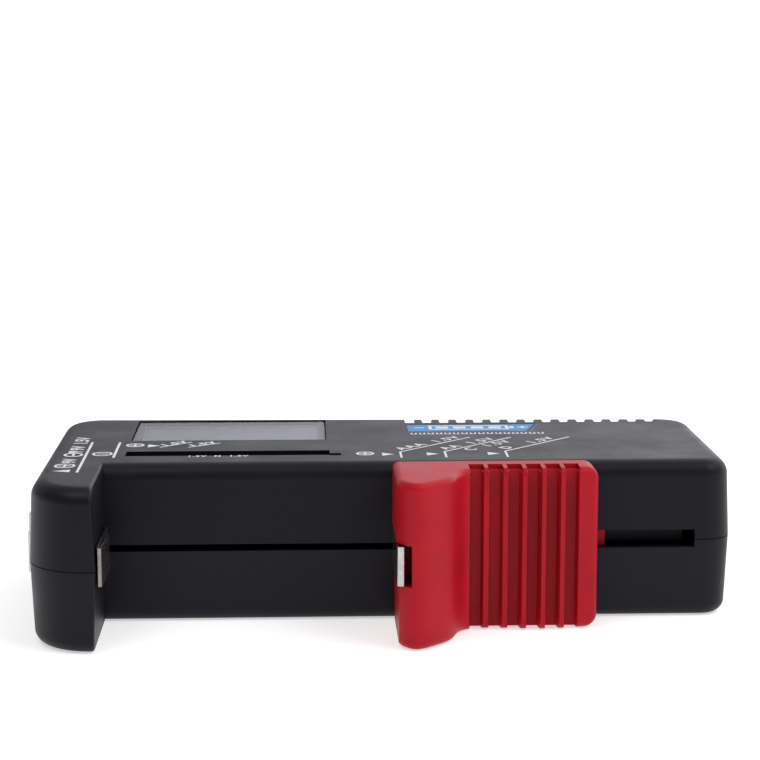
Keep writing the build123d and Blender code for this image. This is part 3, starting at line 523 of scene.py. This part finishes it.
def size_marks(ink):
    """Pointers for the jaw's place with each cell size, each with a bent line and its codes."""
    x = JAW_LOW.x
    plus_place = (x - 3.94, -4.06)
    ink.circle(plus_place, 2.9)
    ink.plus(plus_place, 1.6, 0.40)
    rows = (
        (1.7, 12.1, "AAA  1.5V", None),
        (8.8, 11.8, "AA  1.5V", "C  1.5V"),
        (18.5, 11.8, "D    1.5V", None),
    )
    arrow_y, foot_y, bend_y = -4.8, -7.6, -2.9
    for step, reach, above, below in rows:
        start = x + step
        ink.arrow((start - 2.95, arrow_y), (start - 1.05, arrow_y), 2.3)
        ink.path([(start, foot_y), (start, bend_y), (start + reach, bend_y + reach)], LINE_WIDTH)
        ink.words(above, (start + 0.35, -1.35), ROW_LETTER, 45, bold=ROW_BOLD, gap=ROW_GAP)
        if below:
            ink.words(below, (start + 4.2, -2.35), ROW_LETTER, 45, bold=ROW_BOLD, gap=ROW_GAP)


def badge_row(ink):
    """A row of ticks along the badge's near side, like a scale."""
    pitch, wide, tall = 1.42, 0.75, 1.15
    y = BADGE_LOW.y - 2.75
    for i in range(16):
        x = BADGE_LOW.x + 0.4 + i * pitch
        ink.path([(x, y + tall), (x, y), (x + wide, y), (x + wide, y + tall)], 0.28)


def badge_marks():
    """A painted shadow on the badge's far edge and slanted end, and its pictogram of a cell with
    four charge bars.
    """
    x0, y0, x1, y1 = BADGE_LOW.x, BADGE_LOW.y, BADGE_HIGH.x, BADGE_HIGH.y
    far_y, slant_x = y1 - 0.4, x1 - 2.5
    # Painted shadow: a black line that stands in for the shade in the recess's gap at the far edge
    # and slanted end.
    line = Print("badge_painted_shadow", BADGE_HIGH.z, BLACK_INK)
    line.path([(x0 + 0.1, far_y), (x1 - 0.55, far_y), (slant_x, y0 + 0.1)], 0.62)
    line.done()
    sign = Print("badge_pictogram", BADGE_HIGH.z, WHITE_INK)
    left, near = x0 + 3.6, y0 + 1.5
    middle, bar_low, bar_high = near + 1.85, near + 1.0, near + 2.7
    sign.frame(left, near, left + 13.6, near + 3.7, 0.55)
    sign.box(left + 13.75, bar_low, left + 14.5, bar_high)
    for i in range(4):
        sign.box(left + 1.2 + i * 3.0, bar_low, left + 3.3 + i * 3.0, bar_high)
    sign.plus((left + 16.0, middle), 1.8, 0.5)
    sign.minus((left - 1.6, middle), 1.6, 0.5)
    sign.done()


def window_mask():
    """The grey print on the window's seat that frames the display."""
    mask = Print("window_mask", WINDOW_LOW.z + INK_THICK, MASK_INK)
    inset = 0.12
    x0, y0 = WINDOW_LOW.x + inset, WINDOW_LOW.y + inset
    x1, y1 = WINDOW_HIGH.x - inset, WINDOW_HIGH.y - inset
    mask.frame(x0, y0, x1, y1, 1.15)
    mask.done()


def display_marks():
    """The unlit segments of the display: a charge bar and three figures."""
    ink = Print("display_segments", LCD_HIGH.z, LCD_INK, LCD_INK_THICK)
    left, near = LCD_LOW.x + 7.0, LCD_LOW.y + 6.4
    ink.frame(left, near, left + 34.0, near + 4.2, BORDER)
    bar_pitch, bar_width = 3.27, 2.7
    for i in range(10):
        start = left + 0.8 + i * bar_pitch
        ink.box(start, near + 0.8, start + bar_width, near + 3.4)
    figure_pitch = 5.2
    for i in range(3):
        figure_marks(ink, left + 10.5 + i * figure_pitch, near + 5.7)
    ink.done()


def figure_marks(ink, x, y):
    """The seven segments of one figure."""
    wide, tall, width = 3.2, 2.6, 0.5
    for level in (0, tall, 2 * tall):
        ink.box(x + 0.35, y + level, x + wide - 0.35, y + level + width)
    for level in (0, tall):
        for side in (0, wide - width):
            ink.box(x + side, y + level + 0.65, x + side + width, y + level + tall - 0.15)


def label_marks():
    """A plain data panel: border, heading bar, two cell pictograms and ruled lines."""
    ink = Print("label_print", LABEL_LOW.z, BLACK_INK, -INK_THICK)
    margin = 1.0
    x0, y0 = LABEL_LOW.x + margin, LABEL_LOW.y + margin
    x1, y1 = LABEL_HIGH.x - margin, LABEL_HIGH.y - margin
    ink.frame(x0, y0, x1, y1, BORDER)
    ink.box(x0 + 1.2, y1 - 3.4, x1 - 1.2, y1 - 1.4)
    centre_x = (x0 + x1) / 2
    for i, code in enumerate(("1.5V", "9V")):
        y = y1 - 7.4 - i * 4.6
        centre_y = y + 1.7
        ink.frame(centre_x - 1.0, y, centre_x + 7.0, y + 3.4, BORDER)
        ink.box(centre_x + 7.1, y + 1.1, centre_x + 7.8, y + 2.3)
        ink.minus((centre_x + 0.9, centre_y), 1.3, THIN_SIGN)
        ink.plus((centre_x + 5.4, centre_y), 1.4, THIN_SIGN)
        ink.words(code, (centre_x - 2.4, y + 0.7), 1.9, mirror=True, bold=0.03)
    for i in range(2):
        y = y0 + 1.3 + i * 1.6
        ink.box(x0 + 1.4, y, x1 - 1.4 - 3.5 * i, y + 0.28)
    ink.done()


top_ink = Print("top_print", CASE_HIGH.z, WHITE_INK)
head_marks(top_ink)
mini_cell_marks(top_ink)
size_marks(top_ink)
badge_row(top_ink)
top_ink.done()
badge_marks()
window_mask()
display_marks()
label_marks()


# ------------------------------------------------------- floor, light, camera


def make_floor():
    """A plain white sheet of paper that glows a little, so that it stays white."""
    bpy.ops.mesh.primitive_plane_add(size=FLOOR_SIZE, location=(0, 0, -FLOOR_DROP * MM))
    floor = bpy.context.object
    floor.name = "studio_floor"
    look = Look("floor_paper", (0.78, 0.78, 0.78), 0.9)
    look.shader.inputs["Emission Color"].default_value = (1.0, 1.0, 1.0, 1.0)
    look.shader.inputs["Emission Strength"].default_value = FLOOR_GLOW
    look.shader.inputs["Specular IOR Level"].default_value = 0.1
    look.bump(look.noise(PAPER_GRAIN, 3.0), PAPER_DEPTH)
    nodes, links = look.nodes, look.links
    # Seen from below the floor is clear, so that the underside can be looked at.
    facing = nodes.new("ShaderNodeNewGeometry").outputs["Backfacing"]
    clear = nodes.new("ShaderNodeBsdfTransparent")
    either = nodes.new("ShaderNodeMixShader")
    links.new(facing, either.inputs[0])
    links.new(look.shader.outputs[0], either.inputs[1])
    links.new(clear.outputs[0], either.inputs[2])
    links.new(either.outputs[0], nodes["Material Output"].inputs["Surface"])
    floor.data.materials.append(look.material)


def make_sky():
    """A studio that is brightest behind the object and to its right."""
    world = bpy.data.worlds.new("studio")
    world.use_nodes = True
    bpy.context.scene.world = world
    nodes, links = world.node_tree.nodes, world.node_tree.links
    background = nodes["Background"]
    background.inputs["Color"].default_value = SKY_COLOUR
    direction = nodes.new("ShaderNodeTexCoord").outputs["Generated"]
    split = nodes.new("ShaderNodeSeparateXYZ")
    ramp = map_range(nodes, *SKY_DEPTH_RANGE, SKY_FRONT, SKY_BACK)
    ramp.interpolation_type = "SMOOTHSTEP"
    links.new(direction, split.inputs[0])
    links.new(split.outputs["Y"], ramp.inputs["Value"])
    tilt = map_range(nodes, *SKY_SIDE_RANGE, SKY_LEFT, SKY_RIGHT)
    links.new(split.outputs["X"], tilt.inputs["Value"])
    both = nodes.new("ShaderNodeMath")
    both.operation = "MULTIPLY"
    links.new(ramp.outputs["Result"], both.inputs[0])
    links.new(tilt.outputs["Result"], both.inputs[1])
    seen = nodes.new("ShaderNodeLightPath").outputs["Is Camera Ray"]
    plain = nodes.new("ShaderNodeMix")
    links.new(seen, plain.inputs["Factor"])
    links.new(both.outputs[0], plain.inputs["A"])
    plain.inputs["B"].default_value = SKY_SEEN
    links.new(plain.outputs["Result"], background.inputs["Strength"])


def softbox(name, place_mm, size_mm, power):
    """A square area light aimed at the object's middle."""
    data = bpy.data.lights.new(name, "AREA")
    data.shape = "SQUARE"
    data.size = size_mm * MM
    data.energy = power
    light = bpy.data.objects.new(name, data)
    light.location = Vector(place_mm) * MM
    aim = Vector((0.0, 0.0, LIGHT_AIM_MM)) * MM - light.location
    light.rotation_mode = "QUATERNION"
    light.rotation_quaternion = aim.to_track_quat("-Z", "Y")
    bpy.context.scene.collection.objects.link(light)


def make_camera():
    """The camera, from its place and its yaw, pitch and roll."""
    forward = Vector(
        (
            math.sin(CAMERA_YAW) * math.cos(CAMERA_PITCH),
            math.cos(CAMERA_YAW) * math.cos(CAMERA_PITCH),
            -math.sin(CAMERA_PITCH),
        )
    )
    right = Vector((math.cos(CAMERA_YAW), -math.sin(CAMERA_YAW), 0.0))
    up = right.cross(forward)
    across = right * math.cos(CAMERA_ROLL) + up * math.sin(CAMERA_ROLL)
    above = up * math.cos(CAMERA_ROLL) - right * math.sin(CAMERA_ROLL)
    data = bpy.data.cameras.new("camera")
    data.sensor_width = CAMERA_SENSOR
    data.lens = CAMERA_LENS
    data.clip_start, data.clip_end = CAMERA_CLIP
    camera = bpy.data.objects.new("camera", data)
    turn = Matrix((across, above, -forward)).transposed().to_4x4()
    camera.matrix_world = Matrix.Translation(CAMERA_PLACE) @ turn
    bpy.context.scene.collection.objects.link(camera)
    bpy.context.scene.camera = camera


make_floor()
make_sky()
softbox("key_light", *KEY_LIGHT)
softbox("fill_light", *FILL_LIGHT)
make_camera()
bpy.context.scene.view_settings.view_transform = "Standard"
